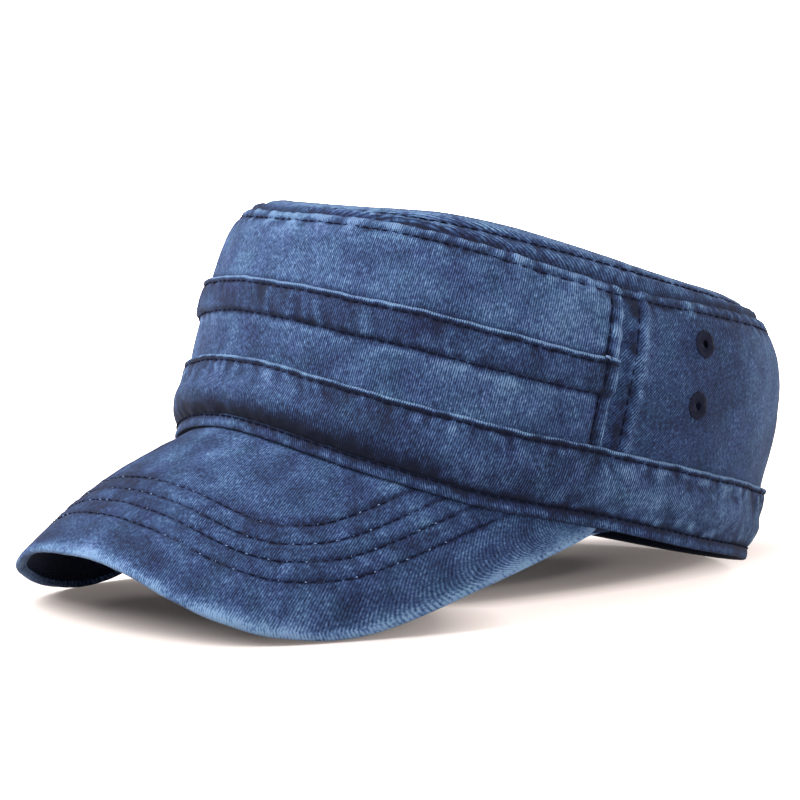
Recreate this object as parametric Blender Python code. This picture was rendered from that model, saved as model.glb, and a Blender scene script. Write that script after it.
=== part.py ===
"""A washed cotton cadet cap: oval top, upright sewn walls, banded base and a bent peak.

The cap is drawn in its own frame, with the hem oval level at z = 0, the peak towards -Y and the
wearer's left at +X. A turn is an angle round the head, 0 at the brow and 180 degrees at the nape.
At the end the whole cap is set down, so that it stands on the peak's two low corners and on the
back of its hem, as it does on a table.
"""

import math
from collections import namedtuple

import bmesh
import bpy
import numpy as np
from mathutils import Vector

# Driving sizes, in metres and degrees
HEM_LENGTH = 0.2044
HEM_WIDTH = 0.1670
CROWN_HEIGHT = 0.0750
TOP_DOME = 0.0062
TOP_WELT = 0.0013
CLOTH = 0.0014
CLEARANCE = 0.0003

BAND_HEIGHT = 0.0240
BAND_BELLY = 0.0011
PANEL_TUCK = 0.0060
LAP_HEIGHT = 0.0515
LAP_BROW_RISE = -0.0010
LAP_WIDTH = 0.0100
LAP_FADE = 0.0030
HEM_ROLL_HEIGHT = 0.0038
HEM_ROLL_THICKNESS = 0.0026

SIDE_SEAM_TURN = 79.0
SEAM_TUCK = 0.0044
SEAM_RAMP = 0.0060

EYELET_RADIUS = 0.0040
EYELET_HOLE_RADIUS = 0.0014
EYELET_THICKNESS = 0.0020
EYELET_TURN = 99.2
EYELET_HEIGHTS = {"lower": 0.0432, "upper": 0.0623}

PEAK_LENGTH = 0.0690
PEAK_TIP_TURN = 82.0
PEAK_TIP_LENGTH = 0.0060
PEAK_CROWNING = 0.0012

# How finely the curved cloth is faceted
SEGMENTS_ROUND = 60
DEGREES_A_SEGMENT = 360.0 / SEGMENTS_ROUND
PEAK_SEGMENTS = 36

# Wall sections from hem to top seam. Height is a share of CROWN_HEIGHT, front and back are shares
# of half the hem's length, side is a share of half its width.
Section = namedtuple("Section", "height front back side")
WALL_SECTIONS = [
    Section(0.00, 1.000, 1.000, 1.000),
    Section(0.08, 1.008, 1.006, 1.006),
    Section(0.20, 1.010, 1.004, 1.008),
    Section(0.32, 1.004, 1.002, 1.004),
    Section(0.50, 1.004, 1.004, 1.002),
    Section(0.65, 0.998, 1.000, 0.998),
    Section(0.80, 0.988, 0.984, 0.982),
    Section(0.90, 0.972, 0.950, 0.956),
    Section(0.96, 0.953, 0.910, 0.925),
    Section(1.00, 0.930, 0.860, 0.890),
]

# How the bent peak lifts the hem and how the top seam wanders, as shares of CROWN_HEIGHT. Sag is
# how far the top's rim has lost its puff: 1 is full, and more is flatter.
Rise = namedtuple("Rise", "turn hem top sag")
RISES = [
    Rise(0.0, 0.060, 0.004, 2.9),
    Rise(40.0, -0.026, 0.022, 2.6),
    Rise(60.0, -0.056, -0.006, 1.7),
    Rise(80.0, -0.034, -0.026, 1.0),
    Rise(105.0, -0.022, 0.010, 2.0),
    Rise(130.0, 0.002, 0.042, 3.1),
    Rise(180.0, 0.008, 0.020, 3.2),
]

# Soft dents and puffs of the wall: turn and height of the middle, their reach in degrees and in
# shares of CROWN_HEIGHT, lean in degrees a share, and depth as a share of CROWN_HEIGHT. A puff's
# depth is negative.
Dent = namedtuple("Dent", "turn height turn_reach height_reach lean depth")
DENTS = [
    Dent(30.0, 0.86, 9.0, 0.10, 30.0, 0.008),
    Dent(58.0, 0.84, 6.0, 0.12, 40.0, 0.013),
    Dent(70.0, 0.76, 4.0, 0.10, 40.0, 0.010),
    Dent(-48.0, 0.80, 9.0, 0.12, -30.0, 0.010),
    Dent(-72.0, 0.44, 7.0, 0.09, -25.0, 0.008),
    Dent(20.0, 0.10, 22.0, 0.05, 0.0, -0.012),
    Dent(-25.0, 0.10, 20.0, 0.05, 0.0, -0.012),
    Dent(92.0, 0.12, 6.0, 0.05, -60.0, 0.010),
    Dent(142.0, 0.19, 12.0, 0.04, 0.0, 0.012),
    Dent(128.0, 0.45, 5.0, 0.22, 10.0, 0.008),
    Dent(150.0, 0.62, 10.0, 0.20, 0.0, -0.016),
    Dent(-135.0, 0.58, 9.0, 0.20, 15.0, 0.010),
    Dent(-160.0, 0.30, 7.0, 0.14, -20.0, 0.008),
]

# The peak is a stiffened crescent bent about straight lines that run forward and down. Turn is a
# share of the way to its tip, length a share of PEAK_LENGTH, and droop that line's angle below
# the hem's plane, in degrees.
PeakSection = namedtuple("PeakSection", "turn length droop")
PEAK_SECTIONS = [
    PeakSection(0.00, 0.985, 44.0),
    PeakSection(0.25, 1.005, 43.5),
    PeakSection(0.38, 1.035, 44.3),
    PeakSection(0.50, 1.055, 45.1),
    PeakSection(0.62, 1.020, 46.8),
    PeakSection(0.75, 0.830, 50.2),
    PeakSection(0.88, 0.420, 53.0),
    PeakSection(1.00, 0.060, 56.0),
]

# The top panel's rings from the seam inward. It stands up from its seam as a welt, TOP_WELT high,
# and domes by TOP_DOME more. Out is a share of the way from its middle to the seam.
TopSection = namedtuple("TopSection", "out rise")
TOP_SECTIONS = [
    TopSection(1.000, 0.00),
    TopSection(0.991, 0.00),
    TopSection(0.975, 0.36),
    TopSection(0.955, 0.54),
    TopSection(0.935, 0.68),
    TopSection(0.890, 0.80),
    TopSection(0.780, 0.90),
    TopSection(0.600, 0.96),
    TopSection(0.300, 1.00),
]
TOP_LEVEL_OUT = 0.300

STEP_BETWEEN_LAYERS = CLOTH + CLEARANCE
HALF_LENGTH = HEM_LENGTH / 2
HALF_WIDTH = HEM_WIDTH / 2


def smooth_through(xs, values, x, level_start=False, level_end=False):
    """A smooth curve through (xs, values) for an array of x, level at an end where so asked."""
    xs = np.asarray(xs, float)
    values = np.asarray(values, float)
    slopes = np.gradient(values, xs)
    if level_start:
        slopes[0] = 0.0
    if level_end:
        slopes[-1] = 0.0
    x = np.clip(x, xs[0], xs[-1])
    i = np.clip(np.searchsorted(xs, x, side="right") - 1, 0, len(xs) - 2)
    span = xs[i + 1] - xs[i]
    t = (x - xs[i]) / span
    start = (1 + 2 * t) * (1 - t) ** 2 * values[i] + t * (1 - t) ** 2 * span * slopes[i]
    end = t * t * (3 - 2 * t) * values[i + 1] - t * t * (1 - t) * span * slopes[i + 1]
    return start + end


def column(rows, name):
    return [getattr(row, name) for row in rows]


def easing(t):
    t = np.clip(t, 0.0, 1.0)
    return t * t * (3 - 2 * t)


def dent_depth(turn, height):
    """How far the cloth lies inside its plain outline, in metres."""
    depth = np.zeros(np.broadcast(turn, height).shape)
    for dent in DENTS:
        across = (turn - dent.turn - dent.lean * (height - dent.height)) / dent.turn_reach
        up = (height - dent.height) / dent.height_reach
        depth = depth + dent.depth * np.exp(-(across**2) - up**2)
    return depth * CROWN_HEIGHT


def plain_wall(turn, height):
    """Points of the walls' outer face without dents, for arrays of turn and height share."""
    angle = np.radians(turn)
    heights = column(WALL_SECTIONS, "height")
    front, back, side = (
        smooth_through(heights, column(WALL_SECTIONS, name), height)
        for name in ("front", "back", "side")
    )
    towards_brow = (1 + np.cos(angle)) / 2
    reach = HALF_LENGTH * (front * towards_brow + back * (1 - towards_brow))
    turns = column(RISES, "turn")
    hem_rise, top_rise = (
        smooth_through(turns, column(RISES, name), np.abs(turn), True, True) for name in ("hem", "top")
    )
    lift = hem_rise * (1 - height) + top_rise * height**2
    x = HALF_WIDTH * side * np.sin(angle)
    y = -reach * np.cos(angle)
    z = CROWN_HEIGHT * (height + lift)
    return np.stack(np.broadcast_arrays(x, y, z), axis=-1)


def wall_normal(turn, height):
    """Unit vectors pointing out of the plain wall."""
    small_turn, small_height = 0.05, 0.0005
    low = np.clip(height - small_height, 0.0, 1.0 - 2 * small_height)
    high = low + 2 * small_height
    around = plain_wall(turn + small_turn, height) - plain_wall(turn - small_turn, height)
    upward = plain_wall(turn, high) - plain_wall(turn, low)
    normal = np.cross(around, upward)
    return normal / np.linalg.norm(normal, axis=-1, keepdims=True)


def wall(turn, height, lift=0.0):
    """Points of the dented wall, lifted off it by so many metres."""
    turn, height = np.broadcast_arrays(np.asarray(turn, float), np.asarray(height, float))
    out = np.asarray(lift, float) - dent_depth(turn, height)
    return plain_wall(turn, height) + wall_normal(turn, height) * out[..., None]


def degrees_along(length, turn):
    """The turn that spans a length along the hem near a given turn."""
    one_degree = plain_wall(np.array(turn + 0.5), np.array(0.5))
    one_degree = one_degree - plain_wall(np.array(turn - 0.5), np.array(0.5))
    return length / np.linalg.norm(one_degree)


def cotton(name, colour, roughness=0.9):
    """Washed cotton of one colour, given as linear red, green and blue."""
    material = bpy.data.materials.new(name)
    material.use_nodes = True
    shader = material.node_tree.nodes["Principled BSDF"]
    shader.inputs["Base Color"].default_value = (*colour, 1.0)
    shader.inputs["Roughness"].default_value = roughness
    shader.inputs["Metallic"].default_value = 0.0
    return material


def placed(name, mesh, material, cap):
    mesh.materials.append(material)
    obj = bpy.data.objects.new(name, mesh)
    bpy.context.scene.collection.objects.link(obj)
    obj.parent = cap
    return obj


def sheet_mesh(name, points, round_and_round=False, close_middle=False):
    """A sheet of quads through a grid of points. The last points of all its rows may be closed."""
    mesh = bpy.data.meshes.new(name)
    shaped = bmesh.new()
    rows = [[shaped.verts.new(point) for point in row] for row in points]
    pairs = list(zip(rows, rows[1:]))
    if round_and_round:
        pairs.append((rows[-1], rows[0]))
    for here, there in pairs:
        for i in range(len(here) - 1):
            shaped.faces.new((here[i], there[i], there[i + 1], here[i + 1]))
    if close_middle:
        shaped.faces.new([row[-1] for row in rows])
    shaped.to_mesh(mesh)
    shaped.free()
    mesh.shade_smooth()
    return mesh


def give_thickness(obj, thickness=CLOTH):
    """The cloth's own thickness, laid inside its outer face."""
    solidify = obj.modifiers.new("cloth thickness", "SOLIDIFY")
    solidify.thickness = thickness
    solidify.offset = -1.0


def cloth_sheet(name, turns, heights, lift, material, cap, round_and_round=False):
    """A cloth panel on the wall. heights may be one list, or one list for each turn."""
    turns = np.asarray(turns, float)
    heights = np.broadcast_to(np.asarray(heights, float), (len(turns), np.shape(heights)[-1]))
    points = wall(turns[:, None], heights, lift)
    obj = placed(name, sheet_mesh(name, points, round_and_round), material, cap)
    give_thickness(obj)
    return obj


def seam_gap_share():
    """Half the top seam's gap, as a share of CROWN_HEIGHT measured along the wall."""
    top = plain_wall(np.array(90.0), np.array([0.99, 1.0]))
    along = np.linalg.norm(top[1] - top[0]) / 0.01
    return 0.6 * CLEARANCE / along


def round_turns():
    return np.arange(SEGMENTS_ROUND) * DEGREES_A_SEGMENT - 180.0


def front_turns():
    count = round(2 * SIDE_SEAM_TURN / DEGREES_A_SEGMENT)
    return np.linspace(-SIDE_SEAM_TURN, SIDE_SEAM_TURN, count + 1)


def lap_share(turn):
    """Height share of the front lap's folded edge, which rises a little at the brow."""
    return (LAP_HEIGHT + LAP_BROW_RISE * np.cos(np.radians(turn))) / CROWN_HEIGHT


def make_upper_front(material, cap):
    """The front wall above the lap. Its lower edge is tucked behind the lapped panel."""
    turns = front_turns()
    low = lap_share(turns) - (LAP_WIDTH - LAP_FADE) / CROWN_HEIGHT
    high = 1.0 - seam_gap_share()
    steps = np.array([0.0, 0.2, 0.4, 0.6, 0.76, 0.86, 0.94, 1.0])
    heights = low[:, None] + (high - low[:, None]) * steps
    return cloth_sheet("front_panel_upper", turns, heights, 0.0, material, cap)


def make_lower_front(material, cap):
    """The front wall below, with its folded top edge lapped over the upper panel."""
    turns = front_turns()
    fold = lap_share(turns)[:, None]
    low = (BAND_HEIGHT - PANEL_TUCK) / CROWN_HEIGHT
    lap = LAP_WIDTH / CROWN_HEIGHT
    fade = LAP_FADE / CROWN_HEIGHT
    below = low + (fold - lap - fade - low) * np.array([0.0, 0.4, 0.75, 1.0])
    on_lap = fold - lap * np.array([1.0, 0.66, 0.33, 0.0])
    heights = np.concatenate([below, on_lap], axis=1)
    lift = STEP_BETWEEN_LAYERS * easing((heights - (fold - lap - fade)) / fade)
    return cloth_sheet("front_panel_lower", turns, heights, lift, material, cap)


def make_rear_panel(side, material, cap):
    """One rear wall, from its tuck under the front panels round to the back seam."""
    tuck = degrees_along(SEAM_TUCK, SIDE_SEAM_TURN)
    ramp = degrees_along(SEAM_RAMP, SIDE_SEAM_TURN)
    half_gap = degrees_along(CLEARANCE / 2, 180.0)
    count = round((180.0 - SIDE_SEAM_TURN - ramp) / DEGREES_A_SEGMENT)
    plain = np.linspace(SIDE_SEAM_TURN + ramp, 180.0 - half_gap, count + 1)
    turns = np.concatenate([SIDE_SEAM_TURN + np.array([-tuck, 0.0, 0.33 * ramp, 0.66 * ramp]), plain])
    lift = -STEP_BETWEEN_LAYERS * (1 - easing((turns - SIDE_SEAM_TURN) / ramp))
    low = (BAND_HEIGHT - PANEL_TUCK) / CROWN_HEIGHT
    high = 1.0 - seam_gap_share() + 0.6 * lift / CROWN_HEIGHT
    steps = np.array([0.0, 0.18, 0.36, 0.54, 0.70, 0.82, 0.90, 0.96, 1.0])
    heights = low + (high[:, None] - low) * steps
    if side < 0:
        turns, lift, heights = -turns[::-1], lift[::-1], heights[::-1]
    name = "rear_panel_left" if side > 0 else "rear_panel_right"
    return cloth_sheet(name, turns, heights, lift[:, None], material, cap)


def make_band(material, cap):
    """The outer band round the base, its folded top edge lapped over all the walls."""
    low = (HEM_ROLL_HEIGHT + CLEARANCE) / CROWN_HEIGHT
    high = BAND_HEIGHT / CROWN_HEIGHT
    steps = np.array([0.0, 0.12, 0.28, 0.52, 0.80, 1.0])
    heights = low + (high - low) * steps
    belly = np.array([-0.6, 0.5, 0.8, 0.4, 0.0, 0.0]) * BAND_BELLY
    lift = belly + STEP_BETWEEN_LAYERS * easing(steps * 1.6)
    return cloth_sheet("base_band", round_turns(), heights, lift[None, :], material, cap, True)


def make_hem_roll(material, cap):
    """The narrow folded binding at the very bottom, a round-cornered ring under the band."""
    turns = round_turns()
    foot = wall(turns, np.zeros(len(turns)))
    outward = wall_normal(turns, np.zeros(len(turns)))
    corner = 0.3
    across = np.array([0, 1 - corner, 1, 1, 1 - corner, 0, -1 + corner, -1, -1, -1 + corner])
    up = np.array([0.0, 0.0, corner, 1 - corner, 1, 1, 1, 1 - corner, corner, 0.0])
    inset = HEM_ROLL_THICKNESS / 2 * (across - 1)
    points = foot[:, None] + outward[:, None] * inset[None, :, None]
    points[..., 2] += HEM_ROLL_HEIGHT * up
    closed = np.concatenate([points, points[:, :1]], axis=1)
    mesh = sheet_mesh("hem_binding", closed, True)
    weld_and_face_out(mesh)
    return placed("hem_binding", mesh, material, cap)


def weld_and_face_out(mesh):
    """Joins points that coincide where a closed section was drawn, and turns its faces outward."""
    shaped = bmesh.new()
    shaped.from_mesh(mesh)
    bmesh.ops.remove_doubles(shaped, verts=shaped.verts, dist=1e-6)
    bmesh.ops.recalc_face_normals(shaped, faces=shaped.faces)
    shaped.to_mesh(mesh)
    shaped.free()


def make_top(material, cap):
    """The oval top panel: flat in its middle, rolled down to the seam all round."""
    turns = round_turns()
    seam = wall(turns, np.ones(len(turns)))
    middle = seam.mean(axis=0)
    out = np.array(column(TOP_SECTIONS, "out"))
    rise = np.array(column(TOP_SECTIONS, "rise"))
    sag = smooth_through(column(RISES, "turn"), column(RISES, "sag"), np.abs(turns), True, True)
    wander = (seam[:, 2] - middle[2])[:, None] * easing((out - TOP_LEVEL_OUT) / (1 - TOP_LEVEL_OUT))
    points = middle + (seam - middle)[:, None] * out[None, :, None]
    points[..., 2] = middle[2] + wander + TOP_DOME * rise[None, :] ** sag[:, None]
    points[:, 1:, 2] += TOP_WELT
    points[..., 2] += 0.6 * CLEARANCE
    mesh = sheet_mesh("crown_top", points, True, True)
    obj = placed("crown_top", mesh, material, cap)
    give_thickness(obj)
    return obj


def peak_brow(share):
    """Where the peak leaves the hem, under the middle of the binding."""
    turn = share * PEAK_TIP_TURN
    points = wall(turn, np.zeros_like(turn), -HEM_ROLL_THICKNESS / 2)
    points[..., 2] -= CLEARANCE
    return points


def peak_rulings(share):
    """Lengths and unit directions of the straight lines that the peak is bent about."""
    turns = column(PEAK_SECTIONS, "turn")
    length, droop = (
        smooth_through(turns, column(PEAK_SECTIONS, name), np.abs(share), True)
        for name in ("length", "droop")
    )
    length = np.maximum(length * PEAK_LENGTH, PEAK_TIP_LENGTH)
    droop = np.radians(droop)
    direction = np.stack([np.zeros_like(droop), -np.cos(droop), -np.sin(droop)], axis=-1)
    return length, direction


def unit(vectors):
    return vectors / np.linalg.norm(vectors, axis=-1, keepdims=True)


def peak_grid(shares_out, lift=0.0):
    """The peak's face from its brow to where its edge turns under, and the ways from there.

    The points are given for shares of that way, lifted off the upper face by so many metres. With
    them go the unit directions out across the edge and out of the face.
    """
    share = np.linspace(-1.0, 1.0, PEAK_SEGMENTS + 1)
    length, direction = peak_rulings(share)
    brow = peak_brow(share)
    outline = brow + direction * length[:, None]
    normal = unit(np.cross(np.gradient(brow, axis=0), -direction))
    outward = unit(np.cross(np.gradient(outline, axis=0), normal))
    turned_at = outline - outward * (2 * CLOTH + CLEARANCE)
    shares_out = np.asarray(shares_out)[None, :, None]
    crown = PEAK_CROWNING * np.sin(np.pi * shares_out) * (length / length.max())[:, None, None]
    points = brow[:, None] * (1 - shares_out) + turned_at[:, None] * shares_out
    points = points + normal[:, None] * (crown + lift)
    return points, outward[:, None], normal[:, None]


def make_peak_upper(material, cap):
    """The peak's upper cloth over its stiffener, turned down over the outer edge."""
    points, outward, normal = peak_grid([0.0, 0.2, 0.4, 0.6, 0.8, 1.0])
    bend = np.radians([30.0, 60.0, 90.0])[None, :, None]
    turn_under = outward * np.sin(bend) - normal * (1 - np.cos(bend))
    lip = points[:, -1:] + (2 * CLOTH + CLEARANCE) * turn_under
    mesh = sheet_mesh("peak_upper", np.concatenate([points, lip], axis=1))
    mesh.flip_normals()
    obj = placed("peak_upper", mesh, material, cap)
    give_thickness(obj)
    return obj


def make_peak_under(material, cap):
    """The peak's lining cloth, inside the turned edge."""
    points, _, _ = peak_grid([0.0, 0.2, 0.4, 0.6, 0.8, 1.0], -STEP_BETWEEN_LAYERS)
    mesh = sheet_mesh("peak_under", points)
    mesh.flip_normals()
    obj = placed("peak_under", mesh, material, cap)
    give_thickness(obj)
    return obj


def make_eyelet(side, level, panel, material, cap):
    """A thread-bound air hole in a rear panel, and the round cut that it sits in."""
    turn = np.array(side * EYELET_TURN)
    height = np.array(EYELET_HEIGHTS[level] / CROWN_HEIGHT)
    place = Vector(wall(turn, height, -CLOTH / 2))
    facing = Vector(wall_normal(turn, height)).to_track_quat("Z", "Y").to_euler()
    name = f"eyelet_{'left' if side > 0 else 'right'}_{level}"

    bpy.ops.mesh.primitive_torus_add(
        major_segments=14,
        minor_segments=6,
        major_radius=(EYELET_RADIUS + EYELET_HOLE_RADIUS) / 2,
        minor_radius=(EYELET_RADIUS - EYELET_HOLE_RADIUS) / 2,
    )
    ring = bpy.context.object
    ring.name = ring.data.name = name
    across = EYELET_THICKNESS / (EYELET_RADIUS - EYELET_HOLE_RADIUS)
    for vert in ring.data.vertices:
        vert.co.z *= across
    ring.data.shade_smooth()
    ring.data.materials.append(material)
    ring.location, ring.rotation_euler, ring.parent = place, facing, cap

    bpy.ops.mesh.primitive_cylinder_add(
        vertices=20, radius=EYELET_RADIUS + CLEARANCE, depth=8 * CLOTH, location=place, rotation=facing
    )
    cutter = bpy.context.object
    cutter.name = f"cut_{name}"
    cutter.hide_render = True
    cutter.display_type = "WIRE"
    cutter.parent = cap
    hole = panel.modifiers.new(f"hole {level}", "BOOLEAN")
    hole.operation = "DIFFERENCE"
    hole.object = cutter


def all_points(cap):
    """The outline of all the cap's cloth, as it stands."""
    graph = bpy.context.evaluated_depsgraph_get()
    found = []
    for obj in cap.children:
        if obj.hide_render:
            continue
        shown = obj.evaluated_get(graph)
        found += [shown.matrix_world @ vert.co for vert in shown.data.vertices]
    return np.array(found)


def set_down(cap):
    """Leans the cap back until peak and hem both touch the table, and centres it there."""
    points = all_points(cap)
    least, most = 0.0, math.radians(45)
    for _ in range(60):
        lean = (least + most) / 2
        z = -points[:, 1] * math.sin(lean) + points[:, 2] * math.cos(lean)
        in_front = points[:, 1] < 0
        if z[in_front].min() < z[~in_front].min():
            least = lean
        else:
            most = lean
    y = points[:, 1] * math.cos(lean) + points[:, 2] * math.sin(lean)
    cap.rotation_euler.x = -lean
    cap.location = (0.0, -(y.min() + y.max()) / 2, -z.min())


def build():
    for obj in list(bpy.data.objects):
        bpy.data.objects.remove(obj)
    cap = bpy.data.objects.new("cap", None)
    bpy.context.scene.collection.objects.link(cap)

    worn_blue = cotton("washed_blue_twill", (0.055, 0.110, 0.250))
    make_top(worn_blue, cap)
    make_upper_front(worn_blue, cap)
    make_lower_front(cotton("lapped_blue_twill", (0.050, 0.098, 0.225)), cap)
    make_band(cotton("band_blue_twill", (0.048, 0.092, 0.210)), cap)
    make_hem_roll(cotton("hem_navy_twill", (0.030, 0.052, 0.130)), cap)
    make_peak_upper(cotton("peak_blue_twill", (0.060, 0.125, 0.275)), cap)
    make_peak_under(cotton("under_peak_navy_cotton", (0.018, 0.028, 0.060)), cap)
    thread = cotton("eyelet_thread", (0.014, 0.018, 0.050), 0.75)
    for side in (1, -1):
        panel = make_rear_panel(side, worn_blue, cap)
        for level in EYELET_HEIGHTS:
            make_eyelet(side, level, panel, thread, cap)

    bpy.context.view_layer.update()
    set_down(cap)
    bpy.context.view_layer.update()


build()
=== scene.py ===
"""A washed cotton cadet cap on a white table, dressed piece by piece over its plain solids."""

import math
from collections import namedtuple

import bpy
import numpy as np
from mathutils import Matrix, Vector, noise


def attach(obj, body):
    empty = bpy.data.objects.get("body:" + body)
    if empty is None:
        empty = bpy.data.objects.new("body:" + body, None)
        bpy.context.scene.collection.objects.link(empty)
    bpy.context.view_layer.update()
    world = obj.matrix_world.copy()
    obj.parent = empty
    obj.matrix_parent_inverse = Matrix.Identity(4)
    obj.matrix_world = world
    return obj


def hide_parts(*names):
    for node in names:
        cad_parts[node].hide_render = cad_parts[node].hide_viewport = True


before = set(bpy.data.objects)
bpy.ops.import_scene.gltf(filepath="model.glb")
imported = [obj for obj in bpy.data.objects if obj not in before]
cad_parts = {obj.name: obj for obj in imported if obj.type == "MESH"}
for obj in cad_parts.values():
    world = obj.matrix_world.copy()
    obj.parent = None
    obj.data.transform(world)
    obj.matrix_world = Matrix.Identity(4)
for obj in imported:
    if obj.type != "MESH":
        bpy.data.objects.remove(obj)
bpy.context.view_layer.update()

# Upper front panel. One layer of washed indigo cotton twill, cut as a shallow arc. It is seamed to
# the top and to the rear panels, and its lower edge is sewn in behind the lap.
MM = 0.001
HALF_LENGTH = 102.2 * MM
HALF_WIDTH = 83.5 * MM
CROWN_HEIGHT = 75.0 * MM
MEAN_RADIUS = 93.0 * MM
CLOTH = 1.1 * MM
SEAM_STEP = 1.7 * MM
LEAN = math.radians(15.3313)
SET_DOWN = np.array([0.0, 20.7844, 26.3016]) * MM

Section = namedtuple("Section", "height front back side")
WALL_SECTIONS = [
    Section(0.00, 1.000, 1.000, 1.000),
    Section(0.08, 1.008, 1.006, 1.006),
    Section(0.20, 1.010, 1.004, 1.008),
    Section(0.32, 1.004, 1.002, 1.004),
    Section(0.50, 1.004, 1.004, 1.002),
    Section(0.65, 0.998, 1.000, 0.998),
    Section(0.80, 0.988, 0.984, 0.982),
    Section(0.90, 0.972, 0.950, 0.956),
    Section(0.96, 0.953, 0.910, 0.925),
    Section(1.00, 0.930, 0.860, 0.890),
]
Rise = namedtuple("Rise", "turn hem top sag")
RISES = [
    Rise(0.0, 0.060, 0.004, 2.9),
    Rise(40.0, -0.026, 0.022, 2.6),
    Rise(60.0, -0.056, -0.006, 1.7),
    Rise(80.0, -0.034, -0.026, 1.0),
    Rise(105.0, -0.022, 0.010, 2.0),
    Rise(130.0, 0.002, 0.042, 3.1),
    Rise(180.0, 0.008, 0.020, 3.2),
]
Dent = namedtuple("Dent", "turn height turn_reach height_reach lean depth")
DENTS = [
    Dent(30.0, 0.86, 9.0, 0.10, 30.0, 0.008),
    Dent(58.0, 0.84, 6.0, 0.12, 40.0, 0.013),
    Dent(70.0, 0.76, 4.0, 0.10, 40.0, 0.010),
    Dent(-48.0, 0.80, 9.0, 0.12, -30.0, 0.010),
    Dent(-72.0, 0.44, 7.0, 0.09, -25.0, 0.008),
    Dent(20.0, 0.10, 22.0, 0.05, 0.0, -0.012),
    Dent(-25.0, 0.10, 20.0, 0.05, 0.0, -0.012),
    Dent(92.0, 0.12, 6.0, 0.05, -60.0, 0.010),
    Dent(142.0, 0.19, 12.0, 0.04, 0.0, 0.012),
    Dent(128.0, 0.45, 5.0, 0.22, 10.0, 0.008),
    Dent(150.0, 0.62, 10.0, 0.20, 0.0, -0.016),
    Dent(-135.0, 0.58, 9.0, 0.20, 15.0, 0.010),
    Dent(-160.0, 0.30, 7.0, 0.14, -20.0, 0.008),
]


def column(rows, name):
    return [getattr(row, name) for row in rows]


def smooth_through(xs, values, x, level_start=False, level_end=False):
    """A smooth curve through (xs, values) for an array of x, level at an end where so asked."""
    xs = np.asarray(xs, float)
    values = np.asarray(values, float)
    slopes = np.gradient(values, xs)
    if level_start:
        slopes[0] = 0.0
    if level_end:
        slopes[-1] = 0.0
    x = np.clip(x, xs[0], xs[-1])
    i = np.clip(np.searchsorted(xs, x, side="right") - 1, 0, len(xs) - 2)
    span = xs[i + 1] - xs[i]
    t = (x - xs[i]) / span
    start = (1 + 2 * t) * (1 - t) ** 2 * values[i] + t * (1 - t) ** 2 * span * slopes[i]
    end = t * t * (3 - 2 * t) * values[i + 1] - t * t * (1 - t) * span * slopes[i + 1]
    return start + end


def easing(t):
    t = np.clip(t, 0.0, 1.0)
    return t * t * (3 - 2 * t)


def plain_wall(turn, up):
    """The walls without dents: turn in degrees from the brow, up in metres from the hem."""
    height = np.clip(up / CROWN_HEIGHT, 0.0, 1.0)
    angle = np.radians(turn)
    heights = column(WALL_SECTIONS, "height")
    front, back, side = (
        smooth_through(heights, column(WALL_SECTIONS, name), height)
        for name in ("front", "back", "side")
    )
    towards_brow = (1 + np.cos(angle)) / 2
    reach = HALF_LENGTH * (front * towards_brow + back * (1 - towards_brow))
    hem_rise, top_rise = (
        smooth_through(column(RISES, "turn"), column(RISES, name), np.abs(turn), True, True)
        for name in ("hem", "top")
    )
    z = CROWN_HEIGHT * (height + hem_rise * (1 - height) + top_rise * height**2)
    return np.stack([HALF_WIDTH * side * np.sin(angle), -reach * np.cos(angle), z], axis=-1)


def unit(vectors):
    return vectors / np.linalg.norm(vectors, axis=-1, keepdims=True)


def wall_facing(turn, up):
    """Unit vectors out of the plain wall."""
    step = 0.05 * MM
    low = np.clip(up - step, 0.0, CROWN_HEIGHT - 2 * step)
    around = plain_wall(turn + 0.05, up) - plain_wall(turn - 0.05, up)
    upwards = plain_wall(turn, low + 2 * step) - plain_wall(turn, low)
    return unit(np.cross(around, upwards))


def dent_depth(turn, up):
    height = up / CROWN_HEIGHT
    depth = np.zeros(len(turn))
    for dent in DENTS:
        across = (turn - dent.turn - dent.lean * (height - dent.height)) / dent.turn_reach
        along = (height - dent.height) / dent.height_reach
        depth += dent.depth * np.exp(-(across**2) - along**2)
    return depth * CROWN_HEIGHT


def wall(turn, up, lift):
    """Points of the dented wall in the cap's own frame, lifted off it by so many metres."""
    out = lift - dent_depth(turn, up)
    return plain_wall(turn, up) + wall_facing(turn, up) * out[:, None]


def as_it_lies(points):
    """Points of the cap's own frame, where the hem is level, put down on the table."""
    x, y, z = np.asarray(points).T
    lying = [x, y * math.cos(LEAN) + z * math.sin(LEAN), -y * math.sin(LEAN) + z * math.cos(LEAN)]
    return np.stack(lying, axis=-1) + SET_DOWN


def crumple(points, size, seed):
    """Smooth random waves of a given size, from -1 to 1, at points of the cloth."""
    shift = Vector((seed, 2.3 * seed, -1.7 * seed))
    return np.array([noise.noise(Vector(p) / size + shift) for p in points])


def rolled(inside, radius):
    """How far a folded edge has dropped at a distance inside it. Past the edge it runs on down."""
    left = np.clip(radius - inside, 0.0, radius)
    return radius - np.sqrt(radius**2 - left**2) + np.clip(-inside, 0.0, None)


def groove(distance, depth, width):
    """The furrow that a row of stitches pulls into the cloth."""
    return depth * near(distance, width)


def puff(distance, width, height):
    """The soft ridge that doubled cloth makes between an edge and its row of stitches."""
    return height * np.sin(np.pi * np.clip(distance / width, 0.0, 1.0))


def near(distance, reach):
    return np.exp(-((distance / reach) ** 2))


def unsteady(turn, seed):
    """How far a hand-guided fold or row strays from its line, in metres."""
    waves = np.zeros(np.shape(turn))
    for k, pace in enumerate((7.0, 17.0, 41.0, 83.0)):
        waves += np.sin(np.radians(turn) * pace + seed * (k + 1.7)) / (1 + 0.6 * k)
    return 0.17 * MM * waves


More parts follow.
